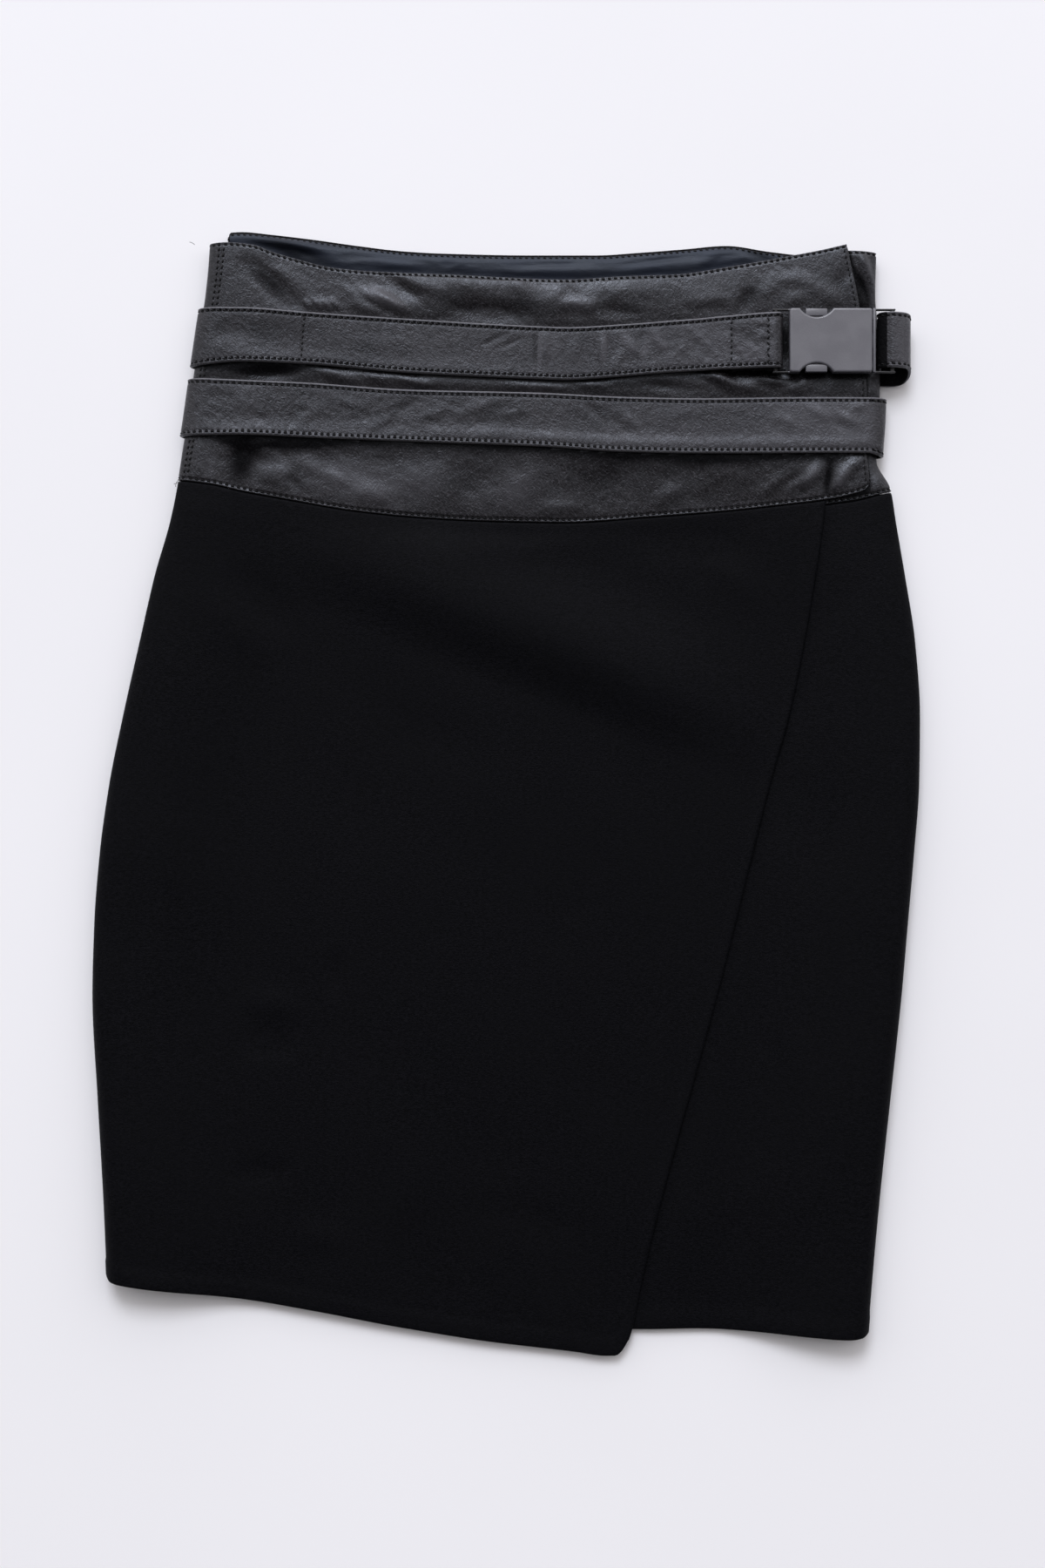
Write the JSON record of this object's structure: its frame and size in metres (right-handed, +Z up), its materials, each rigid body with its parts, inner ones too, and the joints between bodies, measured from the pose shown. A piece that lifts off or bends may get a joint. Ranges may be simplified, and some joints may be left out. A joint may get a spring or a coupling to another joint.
{
  "type": "wrap skirt",
  "caption": "Knee-length wrap skirt laid flat: slanted front wrap, leather yoke at the waist, leather straps round it and a side-release buckle.",
  "frame": {"origin": "centre of the bounding box's bottom face, on the surface that the skirt lies on", "axes": "+X across the skirt towards the buckle, +Y from the hem to the waist, +Z up out of the surface"},
  "size_m": [0.4653, 0.6338, 0.0192],
  "materials": {
    "wool": "matte black wool crepe with a faint heathered weave",
    "yoke_leather": "soft black leather, satin, fine grain and puckers",
    "strap_leather": "soft black leather, satin, edge stitched",
    "satin": "navy satin with a soft sheen",
    "buckle_metal": "matte gunmetal"
  },
  "bodies": {
    "root": {"over_panel": "wool", "under_panel": "wool", "back_panel": "wool", "over_yoke": "yoke_leather", "under_yoke": "yoke_leather", "back_yoke": "yoke_leather", "waist_facing": "satin", "lower_strap": "strap_leather", "upper_strap": "strap_leather", "buckle_housing": "buckle_metal", "buckle_insert": "buckle_metal"}
  },
  "joints": []
}
